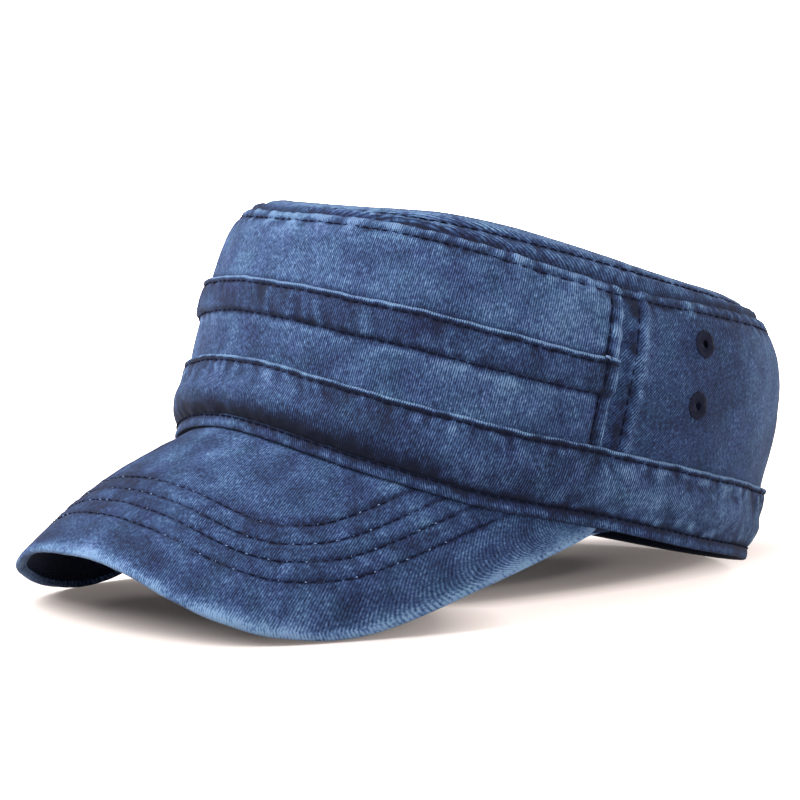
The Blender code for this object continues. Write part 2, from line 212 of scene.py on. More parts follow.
def round_the_head(turn):
    """Metres along the cloth for a turn in degrees."""
    return np.radians(turn) * MEAN_RADIUS


def thicken(cloth, thickness):
    """Give a cloth its thickness, if it has one of its own, and smooth it."""
    if thickness:
        cloth.modifiers.new("cloth thickness", "SOLIDIFY").thickness = thickness
        bpy.ops.object.modifier_apply(modifier="cloth thickness")
    bpy.ops.object.shade_smooth()


def cut_cloth(name, across, up, shape, thickness=CLOTH, closed=False):
    """A flat grid of cloth, laid in place by a function of its two shares, 0 to 1.

    The function gives each point's place in the cap's frame, its place on the flat cut cloth in
    metres, and a tone from -1, dark, to 1, pale. The tone holds the cloth's wear, pale where it is
    rubbed. It also holds painted shade in furrows, in hollows and under overhanging edges, and
    painted light on parts of the cap turned from the key light.
    """
    bpy.ops.object.select_all(action="DESELECT")
    bpy.ops.mesh.primitive_grid_add(x_subdivisions=across, y_subdivisions=up, size=1.0)
    cloth = bpy.context.object
    cloth.name = cloth.data.name = name
    mesh = cloth.data
    flat = np.empty(3 * len(mesh.vertices))
    mesh.vertices.foreach_get("co", flat)
    flat = flat.reshape(-1, 3) + 0.5
    points, cut, wear_and_shade = shape(flat[:, 0], flat[:, 1])
    lying = as_it_lies(points)
    lying[:, 2] = np.maximum(lying[:, 2], 0.0)  # the table is at 0
    mesh.vertices.foreach_set("co", lying.ravel())
    corners = np.empty(len(mesh.loops), int)
    mesh.loops.foreach_get("vertex_index", corners)
    mesh.uv_layers.active.name = "cut cloth"
    mesh.uv_layers.active.data.foreach_set("uv", np.asarray(cut)[corners].ravel())
    mesh.attributes.new("wear_and_shade", "FLOAT", "POINT").data.foreach_set("value", wear_and_shade)
    if closed:
        bpy.ops.object.mode_set(mode="EDIT")
        bpy.ops.mesh.select_all(action="SELECT")
        bpy.ops.mesh.remove_doubles(threshold=0.01 * MM)
        bpy.ops.object.mode_set(mode="OBJECT")
    thicken(cloth, thickness)
    return cloth


def colour(hex_code):
    """A hex sRGB colour as linear red, green, blue and alpha."""
    parts = [int(hex_code[i : i + 2], 16) / 255 for i in (1, 3, 5)]
    return [c / 12.92 if c <= 0.04045 else ((c + 0.055) / 1.055) ** 2.4 for c in parts] + [1.0]


def add_node(material, kind, inputs=None, **settings):
    """A shader node with its settings, and each input given a value or another node's output."""
    node = material.node_tree.nodes.new(kind)
    for name, value in settings.items():
        setattr(node, name, value)
    for socket, value in (inputs or {}).items():
        if isinstance(value, bpy.types.NodeSocket):
            material.node_tree.links.new(value, node.inputs[socket])
        else:
            node.inputs[socket].default_value = value
    return node


# Twill is woven so that its threads cross in slanting ribs. They are about 0.5 mm apart in such
# cloth, and drawn at 0.72 mm, which is as fine as still shows.
TWILL_RIB = 0.72 * MM
WAVE_PERIOD = math.pi / 10
YARN_WIDTH, YARN_RUN = 0.55 * MM, 1.6 * MM
NAP, TINT, BLOTCH, PATCH = 0.9 * MM, 8 * MM, 11 * MM, 38 * MM
WEAVE_DEPTH = 0.18 * MM
Pattern = namedtuple("Pattern", "place size detail roughness")


def cotton_cloth(name, slant, shades, base=0.5, mottle=0.8, ribs=0.42, rubbed_ribs=1.1):
    """Woven cotton: matte and slightly fuzzy, blotched by its dye, and paler or darker with its wear
    and painted shade attribute.

    rubbed_ribs is how much more the ribs stand out where the cloth is rubbed.
    """
    cloth = bpy.data.materials.new(name)
    cloth.use_nodes = True
    shader = cloth.node_tree.nodes["Principled BSDF"]
    shader.inputs["Roughness"].default_value = 0.9
    shader.inputs["Specular IOR Level"].default_value = 0.15
    shader.inputs["Sheen Weight"].default_value = 0.02
    shader.inputs["Sheen Roughness"].default_value = 0.5
    shader.inputs["Sheen Tint"].default_value = colour("#AFC4E6")

    on_cloth = add_node(cloth, "ShaderNodeUVMap", uv_map="cut cloth").outputs["UV"]
    in_space = add_node(cloth, "ShaderNodeTexCoord").outputs["Object"]
    # This attribute pales or darkens the cloth for rubbed wear and for painted light and shade
    # alike.
    worn_and_shaded = add_node(cloth, "ShaderNodeAttribute", attribute_name="wear_and_shade").outputs["Fac"]
    slanted = add_node(
        cloth, "ShaderNodeMapping", {"Vector": on_cloth, "Rotation": (0, 0, math.radians(slant))}
    ).outputs["Vector"]
    rib = add_node(
        cloth,
        "ShaderNodeTexWave",
        {
            "Vector": slanted,
            "Scale": WAVE_PERIOD / TWILL_RIB,
            "Distortion": 0.5,
            "Detail": 2.0,
            "Detail Scale": 0.7,
        },
    ).outputs["Fac"]
    along_rib = add_node(
        cloth, "ShaderNodeMapping", {"Vector": slanted, "Scale": (1 / YARN_WIDTH, 1 / YARN_RUN, 1)}
    ).outputs["Vector"]
    yarn, nap, tint, blotch, patch = (
        add_node(
            cloth,
            "ShaderNodeTexNoise",
            {
                "Vector": pattern.place,
                "Scale": 1 / pattern.size,
                "Detail": pattern.detail,
                "Roughness": pattern.roughness,
            },
        ).outputs["Fac"]
        for pattern in (
            Pattern(along_rib, 1.0, 3.0, 0.5),
            Pattern(in_space, NAP, 2.0, 0.5),
            Pattern(in_space, TINT, 4.0, 0.5),
            Pattern(in_space, BLOTCH, 5.0, 0.62),
            Pattern(in_space, PATCH, 2.0, 0.5),
        )
    )

    def mixed(start, *parts):
        """A start value and some patterns, each about its middle and times its weight."""
        total = start - sum(weight * middle for _, weight, middle in parts)
        for pattern, weight, _ in parts:
            total = add_node(
                cloth, "ShaderNodeMath", {0: pattern, 1: weight, 2: total}, operation="MULTIPLY_ADD"
            ).outputs[0]
        return total

    rubbed = mixed(1.0, (worn_and_shaded, rubbed_ribs, 0.0))
    rubbed = add_node(cloth, "ShaderNodeMath", {0: rubbed, 1: 1.0}, operation="MAXIMUM").outputs[0]
    raised = mixed(0.0, (rib, 1.0, 0.5))
    raised = add_node(
        cloth, "ShaderNodeMath", {0: raised, 1: rubbed}, operation="MULTIPLY"
    ).outputs[0]
    shade = mixed(
        base,
        (raised, ribs, 0.0),
        (yarn, 0.95, 0.5),
        (nap, 0.75, 0.5),
        (blotch, mottle, 0.5),
        (patch, 0.7 * mottle, 0.5),
        (worn_and_shaded, 0.34, 0.0),
    )
    ramp = add_node(cloth, "ShaderNodeValToRGB", {"Fac": shade})
    stops = ramp.color_ramp.elements
    while len(stops) < len(shades):
        stops.new(0.5)
    for i, shade_of_blue in enumerate(shades):
        stops[i].position = i / (len(shades) - 1)
        stops[i].color = colour(shade_of_blue)
    hue = mixed(0.5, (tint, 0.036, 0.5))
    dyed = add_node(
        cloth,
        "ShaderNodeHueSaturation",
        {"Hue": hue, "Saturation": 1.07, "Color": ramp.outputs["Color"]},
    )
    cloth.node_tree.links.new(dyed.outputs["Color"], shader.inputs["Base Color"])
    weave = mixed(0.0, (rib, 0.6, 0.5), (yarn, 0.9, 0.5), (nap, 0.5, 0.5))
    bump = add_node(
        cloth, "ShaderNodeBump", {"Height": weave, "Strength": 0.5, "Distance": WEAVE_DEPTH}
    )
    cloth.node_tree.links.new(bump.outputs["Normal"], shader.inputs["Normal"])
    return cloth


INDIGO = ("#070B1B", "#121C34", "#212F49", "#384A66", "#566A82")


def washed_twill(part, slant, **looks):
    """Garment-washed indigo twill, faded unevenly over the whole cap. Each piece gets its own copy
    with its own base tone, which holds painted light and shade besides the fading: the front is
    lightest, the rear and the band darker, and the binding darkest.
    """
    return cotton_cloth(f"washed indigo cotton twill, {part}", slant, INDIGO, **looks)


twill_front = washed_twill("front", 4.0, base=0.55)

SIDE_SEAM_TURN = 79.0
EDGE_RUN = 2.2 * MM
TOP_STITCH_DOWN = 3.2 * MM
SIDE_STITCH_IN = 4.0 * MM
LAP_HEIGHT = 51.5 * MM
LAP_BROW_RISE = -1.0 * MM
PANEL_GRID = (420, 64)


def lap_fold(turn):
    """Height of the lap's folded edge, in metres up the wall."""
    return LAP_HEIGHT + LAP_BROW_RISE * np.cos(np.radians(turn)) + unsteady(turn, 1.0)


def top_edge(below):
    """Relief and tone of a wall panel near the top seam, at so many metres below it: pale on the
    rubbed puff, with painted shade in the stitch furrow and along the seam itself.
    """
    relief = puff(below, TOP_STITCH_DOWN, 0.45 * MM) - rolled(below, 1.3 * MM)
    relief -= groove(below - TOP_STITCH_DOWN, 0.4 * MM, 0.8 * MM)
    wear_and_shade = 0.35 * near(below - 1.5 * MM, 1.0 * MM) - 0.9 * near(below - TOP_STITCH_DOWN, 0.7 * MM)
    return relief, wear_and_shade - 1.2 * near(below, 0.7 * MM)


def side_edge(inside, below):
    """Relief and tone of a front panel near its side seam, which flattens towards the top seam: pale
    on the rubbed ridge by the seam, with painted shade in the stitch furrow.
    """
    relief = puff(inside, SIDE_STITCH_IN, 0.3 * MM) + 0.35 * MM * near(inside, 4 * MM)
    relief -= groove(inside - SIDE_STITCH_IN, 0.6 * MM, 0.8 * MM)
    relief = relief * easing((below - 2 * MM) / (8 * MM)) - rolled(inside, 0.7 * MM)
    wear_and_shade = 0.7 * near(inside - 0.9 * MM, 0.6 * MM) - 1.3 * near(inside - SIDE_STITCH_IN, 0.8 * MM)
    return relief, wear_and_shade - 0.3 * near(inside - 2.4 * MM, 1.0 * MM)


def handled(points, seam_distance, seed):
    """The waves of worn cloth, and the small puckers along its rows of stitches. The puckers' tone
    follows their height: pale on the crests, where they are rubbed, and dark in the dips as painted
    shade.
    """
    waves = 0.9 * MM * crumple(points, 30 * MM, seed)
    waves += 0.35 * MM * crumple(points, 11 * MM, seed + 5)
    puckers = 0.35 * MM * crumple(points, 3.6 * MM, seed + 9) * near(seam_distance, 4.5 * MM)
    return waves * (1 - near(seam_distance, 3 * MM)) + puckers, 3.4 * puckers / MM


def nearest(*distances):
    """The distance from the nearest of some lines."""
    return np.min(np.abs(distances), axis=0)


def roping(along, across, seed):
    """The slanting ripples that two rows of stitches draw up between them, from -1 to 1. Where they
    also set the cloth's tone, they are pale on their rubbed crests and dark in their hollows as
    painted shade.
    """
    slanting = (along + 0.4 * across) / (3.4 * MM)
    places = zip(slanting, across / (11 * MM), 0 * along + seed)
    return 1.7 * np.array([noise.noise(Vector(p)) for p in places])


def across_front(u):
    """Turns along a front panel's cloth, the same held to its edges, and metres inside them."""
    side = SIDE_SEAM_TURN + math.degrees(EDGE_RUN / MEAN_RADIUS)
    spread = (2 * u - 1) * side
    inside = round_the_head(SIDE_SEAM_TURN - np.abs(spread))
    return spread, np.clip(spread, -SIDE_SEAM_TURN, SIDE_SEAM_TURN), inside


def upper_front(u, v):
    spread, turn, inside = across_front(u)
    low = lap_fold(turn) - 7 * MM
    up = low + v * (CROWN_HEIGHT + EDGE_RUN - low)
    below = CROWN_HEIGHT - up
    top_relief, top_wear_and_shade = top_edge(below)
    side_relief, side_wear_and_shade = side_edge(inside, below)
    up = np.minimum(up, CROWN_HEIGHT)
    seam_distance = nearest(below - 2 * MM, inside - 2 * MM)
    waves, pucker_wear_and_shade = handled(plain_wall(turn, up), seam_distance, 3.0)
    over_lap = up - lap_fold(turn)
    # Painted shade darkens the upper panel along the lap's fold, where the lap steps out over it.
    wear_and_shade = top_wear_and_shade + side_wear_and_shade + pucker_wear_and_shade - 0.7 * near(over_lap, 1.2 * MM)
    drawn = roping(round_the_head(turn), up, 2.0) * near(below - 1.6 * MM, 3.0 * MM)
    drawn += roping(up, round_the_head(turn), 6.0) * near(inside - 2 * MM, 3.0 * MM)
    wear_and_shade += 0.7 * drawn
    points = wall(turn, up, top_relief + side_relief + waves + 0.3 * MM * drawn)
    return points, np.stack([round_the_head(spread), up], axis=-1), wear_and_shade


front_panel_upper = cut_cloth("front_panel_upper_cloth", *PANEL_GRID, upper_front)
front_panel_upper.data.materials.append(twill_front)
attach(front_panel_upper, "root")
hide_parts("front_panel_upper")

# Lower front panel. A second strip of the same twill. Its top edge is folded in and topstitched
# twice, so that it laps over the upper panel, and the doubled cloth above the second row is darker.
BAND_HEIGHT = 24.0 * MM
LAP_STITCH_DOWN = 1.9 * MM
LAP_HEM_DOWN = 11.5 * MM
twill_lower = washed_twill("lap", 4.0, base=0.49)


def folded_edge(turn, below):
    """Relief and tone of a folded and topstitched edge, at so many metres below its fold: a pale
    rubbed bead on the fold, and painted shade just under it along the stitch row.
    """
    relief = puff(below, LAP_STITCH_DOWN, 0.3 * MM) - rolled(below, 0.7 * MM)
    relief -= groove(below - LAP_STITCH_DOWN, 0.6 * MM, 0.5 * MM)
    bead = near(below - 0.35 * MM, 0.5 * MM)
    wear_and_shade = 1.6 * bead - 1.5 * near(below - 1.8 * MM, 0.75 * MM)
    uneven = crumple(np.stack([turn / 2.2, turn * 0, turn * 0], axis=-1), 1.0, 8.0)
    return relief, wear_and_shade + 0.9 * bead * uneven + 0.8 * near(below - 1.9 * MM, 0.9 * MM) * uneven


def lower_front(u, v):
    spread, turn, inside = across_front(u)
    low = BAND_HEIGHT - 6 * MM
    fold = lap_fold(turn)
    up = low + v * (fold + EDGE_RUN - low)
    below = fold - up
    fold_relief, fold_wear_and_shade = folded_edge(turn, below)
    side_relief, side_wear_and_shade = side_edge(inside, CROWN_HEIGHT - up)
    up = np.minimum(up, fold)
    lapped = SEAM_STEP * easing((LAP_HEM_DOWN + 1.5 * MM - below) / (3 * MM))
    hem_row = groove(below - LAP_HEM_DOWN, 0.55 * MM, 0.7 * MM)
    seam_distance = nearest(below - 2 * MM, inside - 2 * MM, below - LAP_HEM_DOWN)
    waves, pucker_wear_and_shade = handled(plain_wall(turn, up), seam_distance, 21.0)
    strip = easing((below - 1.5 * MM) / (1 * MM)) * easing((LAP_HEM_DOWN - below) / (1 * MM))
    along_row = strip + 0.4 * near(below - LAP_HEM_DOWN, 2 * MM)
    drawn = roping(round_the_head(turn), up, 11.0) * along_row
    drawn += roping(up, round_the_head(turn), 16.0) * near(inside - 2 * MM, 3.0 * MM)
    wear_and_shade = fold_wear_and_shade + side_wear_and_shade + 0.5 * pucker_wear_and_shade - 0.55 * strip + 0.42 * drawn
    # Painted shade darkens the cloth along the lower stitch row's furrow. Just below it the cloth is
    # a little paler.
    wear_and_shade -= 1.1 * near(below - LAP_HEM_DOWN, 0.7 * MM)
    wear_and_shade += 0.3 * near(below - LAP_HEM_DOWN - 2 * MM, 1.2 * MM)
    points = wall(turn, up, fold_relief + side_relief + lapped - hem_row + waves + 0.2 * MM * drawn)
    return points, np.stack([round_the_head(spread), up + 4 * MM], axis=-1), wear_and_shade


front_panel_lower = cut_cloth("front_panel_lower_cloth", *PANEL_GRID, lower_front)
front_panel_lower.data.materials.append(twill_lower)
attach(front_panel_lower, "root")
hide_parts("front_panel_lower")

# Rear panels. Two mirrored pieces of the twill, cut on another grain, so that their ribs slant.
# They run under the front panels at the side seams, are topstitched there, and meet at the nape.
HANDS = {"left": 1, "right": -1}
NAPE_TURN = 180.2
NAPE_STITCH_IN = 5.0 * MM
REAR_GRID = (230, 90)
REAR_STITCH_IN = 6.0 * MM
EYELET_TURN = 99.2
EYELET_UPS = {"lower": 43.2 * MM, "upper": 62.3 * MM}
EYELET_CUT = 2.4 * MM
REAR_TUCK = 4.4 * MM
twill_rear = washed_twill("rear", 32.0, base=0.38, mottle=0.7, ribs=0.28)


def rear_panel(side, hand):
    """One of the two rear panels, on the wearer's left or right."""

    def shape(u, v):
        share = u if hand > 0 else 1 - u
        start = SIDE_SEAM_TURN - math.degrees(REAR_TUCK / MEAN_RADIUS)
        turn = start + (NAPE_TURN - start) * share
        behind = round_the_head(turn - SIDE_SEAM_TURN)
        to_nape = np.abs(round_the_head(180.0 - turn))
        low = BAND_HEIGHT - 6 * MM
        up = low + v * (CROWN_HEIGHT + EDGE_RUN - low)
        below = CROWN_HEIGHT - up
        relief, wear_and_shade = top_edge(below)
        up = np.minimum(up, CROWN_HEIGHT)
        sunk = 0.6 * SEAM_STEP * (1 - easing(behind / (6 * MM))) * easing(below / (8 * MM))
        relief = relief - sunk - groove(behind - REAR_STITCH_IN, 0.5 * MM, 0.9 * MM)
        relief += 0.75 * MM * near(behind - 8.6 * MM, 1.8 * MM)
        relief += 0.4 * MM * near(to_nape - 2.4 * MM, 1.6 * MM)
        relief -= groove(to_nape, 0.9 * MM, 1.0 * MM)
        relief -= groove(to_nape - NAPE_STITCH_IN, 0.4 * MM, 0.8 * MM)
        seam_distance = nearest(below - 2 * MM, behind - 5 * MM, to_nape - 3 * MM)
        waves, pucker_wear_and_shade = handled(plain_wall(hand * turn, up), seam_distance, 40.0)
        blots = 0.45 + 0.9 * np.sin(up / (2.1 * MM)) + roping(up, behind, 44.0)
        blotted = near(behind - 4.8 * MM, 2.0 * MM) * blots
        drawn = 0.5 * roping(up, behind, 30.0 + hand) * near(behind - 7 * MM, 5.0 * MM)
        drawn += roping(round_the_head(turn), up, 34.0 + hand) * near(below - 1.6 * MM, 3.0 * MM)
        # Painted shade darkens the nape seam's furrow, and painted light makes the panel paler from
        # about 104° round towards the nape, where the rim light falls.
        wear_and_shade = wear_and_shade + pucker_wear_and_shade - 0.8 * np.clip(blotted, 0, 1.6)
        wear_and_shade += 0.65 * near(behind - 8.8 * MM, 1.5 * MM) - 0.9 * near(to_nape, 1.2 * MM)
        wear_and_shade += 0.42 * easing((turn - 104) / 30) + 0.7 * drawn
        cut = np.stack([round_the_head(turn) * hand, up], axis=-1)
        return wall(hand * turn, up, relief + waves + 0.4 * MM * drawn), cut, wear_and_shade

    panel = cut_cloth(f"rear_panel_{side}_cloth", *REAR_GRID, shape, thickness=0)
    bpy.ops.object.mode_set(mode="EDIT")
    bpy.ops.mesh.select_all(action="DESELECT")
    bpy.ops.object.mode_set(mode="OBJECT")
    places = [eyelet_place(hand, up)[0] for up in EYELET_UPS.values()]
    for face in panel.data.polygons:
        face.select = any((face.center - place).length < EYELET_CUT for place in places)
    bpy.ops.object.mode_set(mode="EDIT")
    bpy.ops.mesh.select_mode(type="FACE")
    bpy.ops.mesh.delete(type="FACE")
    bpy.ops.object.mode_set(mode="OBJECT")
    thicken(panel, CLOTH)
    panel.data.materials.append(twill_rear)
    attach(panel, "root")
    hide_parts(f"rear_panel_{side}")


def eyelet_place(hand, up):
    """Where an air hole sits on the lying cap, and the way that it faces."""
    turn, up = np.array([hand * EYELET_TURN]), np.array([up])
    place = as_it_lies(wall(turn, up, np.zeros(1)))[0]
    facing = as_it_lies(wall_facing(turn, up))[0] - SET_DOWN
    return Vector(place), Vector(facing)


for side, hand in HANDS.items():
    rear_panel(side, hand)

# Air holes. Each is a small round cut in the rear panel, bound edge to edge with close radial
# stitches of dark embroidery thread, which stand up as a ring of fine ribs.
EYELET_RADIUS = 4.4 * MM
EYELET_HOLE = 1.3 * MM
EYELET_STITCHES = 34
EYELET_PROUD = 0.8 * MM
EYELET_RAGGED = 4 / 9 * MM


def spun_thread(name, hex_code, roughness, specular):
    """Spun thread. Its loose fibres leave it matt, so that it reads as a plain dark or pale line."""
    thread = bpy.data.materials.new(name)
    thread.use_nodes = True
    shader = thread.node_tree.nodes["Principled BSDF"]
    shader.inputs["Base Color"].default_value = colour(hex_code)
    shader.inputs["Roughness"].default_value = roughness
    shader.inputs["Specular IOR Level"].default_value = specular
    return thread


thread_dark = spun_thread("navy embroidery thread", "#0A0E20", 0.7, 0.14)
for side, hand in HANDS.items():
    for level, up in EYELET_UPS.items():
        node = f"eyelet_{side}_{level}"
        place, facing = eyelet_place(hand, up)
        bpy.ops.object.select_all(action="DESELECT")
        bpy.ops.mesh.primitive_torus_add(
            major_segments=4 * EYELET_STITCHES,
            minor_segments=14,
            major_radius=(EYELET_RADIUS + EYELET_HOLE) / 2,
            minor_radius=(EYELET_RADIUS - EYELET_HOLE) / 2,
        )
        ring = bpy.context.object
        ring.name = ring.data.name = f"{node}_binding"
        for vert in ring.data.vertices:
            turn = math.atan2(vert.co.y, vert.co.x)
            rib = 1 + 0.35 * math.cos(EYELET_STITCHES * turn)
            at = Vector((vert.co.x / EYELET_RAGGED, vert.co.y / EYELET_RAGGED, hand))
            ragged = 1 + 0.10 * noise.noise(at)
            vert.co.x *= ragged
            vert.co.y *= ragged
            vert.co.z *= rib * EYELET_PROUD / ((EYELET_RADIUS - EYELET_HOLE) / 2)
        ring.location = place
        ring.rotation_euler = facing.to_track_quat("Z", "Y").to_euler()
        bpy.ops.object.transform_apply(location=True, rotation=True, scale=True)
        bpy.ops.object.shade_smooth()
        ring.data.materials.append(thread_dark)
        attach(ring, "root")
        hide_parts(node)

# Top panel. An oval of the twill, seamed to the walls with its allowance turned in and topstitched,
# so that its rim stands up as a puffed and puckered welt round an almost flat middle.
TOP_DOME = 6.2 * MM
TOP_WELT = 1.3 * MM
TopSection = namedtuple("TopSection", "out rise")
TOP_SECTIONS = [
    TopSection(0.000, 1.00),
    TopSection(0.300, 1.00),
    TopSection(0.600, 0.96),
    TopSection(0.780, 0.90),
    TopSection(0.890, 0.80),
    TopSection(0.935, 0.68),
    TopSection(0.955, 0.54),
    TopSection(0.975, 0.36),
    TopSection(0.991, 0.00),
    TopSection(1.000, 0.00),
]
TOP_GRID = (480, 90)
TOP_FULLNESS = 3.0 * MM
TOP_STITCH_IN = 3.6 * MM
TOP_EDGE_RUN = 1.6 * MM
twill_top = washed_twill("top", 48.0)


def top_at(turn, inward_share):
    """The top's plain surface: its points, and how far they lie inside the seam."""
    at_seam = np.full(len(turn), CROWN_HEIGHT)
    seam = wall(turn, at_seam, np.zeros(len(turn)))
    middle = TOP_MIDDLE
    reach = np.linalg.norm(seam[:, :2] - middle[:2], axis=-1)
    inward = inward_share(reach)
    out = 1 - np.clip(inward, 0, None) / reach
    sag = smooth_through(column(RISES, "turn"), column(RISES, "sag"), np.abs(turn), True, True)
    rise = np.interp(out, column(TOP_SECTIONS, "out"), column(TOP_SECTIONS, "rise"))
    wander = (seam[:, 2] - middle[2]) * easing((out - 0.3) / 0.7)
    points = middle + (seam - middle) * out[:, None]
    points[:, 2] = middle[2] + wander + TOP_DOME * rise**sag
    points[:, 2] += TOP_WELT * easing(inward / (1.2 * MM)) - rolled(inward, 0.8 * MM)
    full = TOP_FULLNESS * near(np.abs(turn) - 62, 30) * near(inward - 9 * MM, 7 * MM)
    points[:, 2] += full * easing(inward / (5 * MM))
    return points, inward


all_round = np.linspace(-180, 180, 481)
seam_line = wall(all_round, 0 * all_round + CROWN_HEIGHT, 0 * all_round)
TOP_MIDDLE = np.array([0.0, 1.0, 1.0]) * np.mean(seam_line, axis=0)


def crown_top(u, v):
    turn = 360 * u - 180
    points, inward = top_at(turn, lambda reach: v**1.7 * (reach + TOP_EDGE_RUN) - TOP_EDGE_RUN)
    stitch = groove(inward - TOP_STITCH_IN, 0.45 * MM, 0.9 * MM)
    seam_distance = np.abs(inward - 2.5 * MM)
    waves, pucker_wear_and_shade = handled(points, seam_distance, 60.0)
    drawn = roping(round_the_head(turn), inward, 77.0) * near(inward - 2.5 * MM, 4.5 * MM)
    flat = points[:, :2].copy()
    points[:, 2] += 0.5 * waves + 0.2 * MM * drawn - stitch + puff(inward, TOP_STITCH_IN, 0.5 * MM)
    # Painted shade darkens the stitch furrow and the seam at the rim. A paler ring lies just inside
    # the stitch row.
    wear_and_shade = 0.7 * pucker_wear_and_shade + 0.55 * drawn - 0.9 * near(inward - TOP_STITCH_IN, 0.8 * MM)
    wear_and_shade += 0.6 * near(inward - 6.5 * MM, 2.2 * MM) - 1.2 * near(inward, 0.8 * MM)
    return points, flat, wear_and_shade


top_panel = cut_cloth("crown_top_cloth", *TOP_GRID, crown_top, closed=True)
top_panel.data.materials.append(twill_top)
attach(top_panel, "root")
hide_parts("crown_top")

# Base band. A long strip of the twill round the whole cap, its top edge folded in and topstitched
# over the walls. It bulges over the binding at the brow, where the peak pushes it up.
BAND_STITCH_DOWN = 2.0 * MM
BAND_GRID = (760, 48)
HEM_ROLL_HEIGHT = 3.8 * MM
twill_band = washed_twill("band", 9.0, base=0.39, mottle=0.85)


def band_fold(turn):
    return BAND_HEIGHT + unsteady(turn, 4.0)


def base_band(u, v):
    turn = 360 * u - 180
    low = HEM_ROLL_HEIGHT - 1.2 * MM
    up = low + v * (band_fold(turn) + EDGE_RUN - low)
    below = band_fold(turn) - up
    above = up - HEM_ROLL_HEIGHT
    relief, wear_and_shade = folded_edge(turn, below)
    up = np.minimum(up, band_fold(turn))
    brow = near(turn - 8, 48)
    relief = relief + SEAM_STEP * easing(above / (9 * MM))
    relief += brow * 1.9 * MM * near(above - 9 * MM, 4 * MM)
    relief -= rolled(above, 1.2 * MM) + 0.5 * MM * near(above, 2 * MM)
    relief -= brow * 1.1 * MM * near(above, 2.5 * MM)
    seam_distance = nearest(below - 2 * MM, above - 1 * MM)
    waves, pucker_wear_and_shade = handled(plain_wall(turn, up), seam_distance, 90.0)
    drawn = roping(round_the_head(turn), up, 95.0)
    drawn *= near(below - 4 * MM, 4 * MM) + near(above, 3 * MM) + 0.7 * near(turn - 139, 13)
    # Painted shade darkens the band along the binding, and most in the hollow under its bulge at the
    # brow. The bulge's crest is a little paler. Painted light makes the band paler towards the back,
    # where the rim light falls, and about 42° round it is a little darker.
    wear_and_shade = wear_and_shade + pucker_wear_and_shade + 0.7 * drawn - 1.2 * near(above, 1.4 * MM)
    wear_and_shade -= 1.9 * brow * near(above - 2 * MM, 3 * MM)
    wear_and_shade += 0.1 * brow * near(above - 11 * MM, 3 * MM)
    wear_and_shade += 0.3 * easing((np.abs(turn) - 60) / 45) - 0.25 * near(turn - 42, 22)
    cut = np.stack([round_the_head(turn), up], axis=-1)
    return wall(turn, up, relief + waves + 0.28 * MM * drawn), cut, wear_and_shade


band = cut_cloth("base_band_cloth", *BAND_GRID, base_band, closed=True)
band.data.materials.append(twill_band)
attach(band, "root")
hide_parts("base_band")

# Hem binding. A narrow strip of the twill rolled round the raw lower edge of the cap and stitched
# through just above, with the peak caught under it at the front.
# The binding's base tone, far darker than the band's, is painted shade.
twill_hem = washed_twill("hem", 20.0, base=0.19, mottle=1.0, ribs=0.3)
HEM_GRID = (640, 30)
HEM_LAST_SEEN_ROW = 5.5
HemSection = namedtuple("HemSection", "up out")
HEM_SECTIONS = [
    HemSection(4.8, -1.9),
    HemSection(4.2, -0.7),
    HemSection(3.5, 0.05),
    HemSection(2.4, 0.35),
    HemSection(1.2, 0.42),
    HemSection(0.3, 0.25),
    HemSection(0.0, -0.25),
    HemSection(0.0, -1.20),
    HemSection(0.3, -2.10),
    HemSection(1.2, -2.50),
    HemSection(3.0, -2.60),
    HemSection(4.8, -1.90),
]


def hem_binding(u, v):
    turn = 180 - 360 * u
    place = v * (len(HEM_SECTIONS) - 1)
    rows = np.arange(len(HEM_SECTIONS))
    up, out = (
        smooth_through(rows, column(HEM_SECTIONS, name), place) * MM for name in ("up", "out")
    )
    around = np.zeros(len(turn))
    foot = wall(turn, around, around)
    facing = wall_facing(turn, around)
    puckers = 0.24 * MM * crumple(foot + np.stack([around, around, up], axis=-1), 3.4 * MM, 12.0)
    points = foot + facing * (out + puckers)[:, None]
    points[:, 2] += up
    # The binding's tone is painted light and shade round its roll: paler across the middle of its
    # face and dark at its top under the band. Past the last row seen from outside it is painted
    # dark, as the shade inside the cap. It is paler towards the back, as painted rim light, and at
    # the front, as painted light against the band's shadow. Its puckers are pale on the crests and
    # dark in the dips.
    wear_and_shade = 3.2 * puckers / MM + 0.4 * near(up - 1.5 * MM, 0.9 * MM)
    wear_and_shade -= 0.9 * near(up - 3.7 * MM, 0.9 * MM) + 2.0 * (place > HEM_LAST_SEEN_ROW)
    wear_and_shade += 0.15 * easing((np.abs(turn) - 60) / 50) + 0.15 * near(turn, 60)
    return points, np.stack([round_the_head(turn), 1.2 * MM * place], axis=-1), wear_and_shade


binding = cut_cloth("hem_binding_cloth", *HEM_GRID, hem_binding, thickness=0, closed=True)
binding.data.materials.append(twill_hem)
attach(binding, "root")
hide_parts("hem_binding")

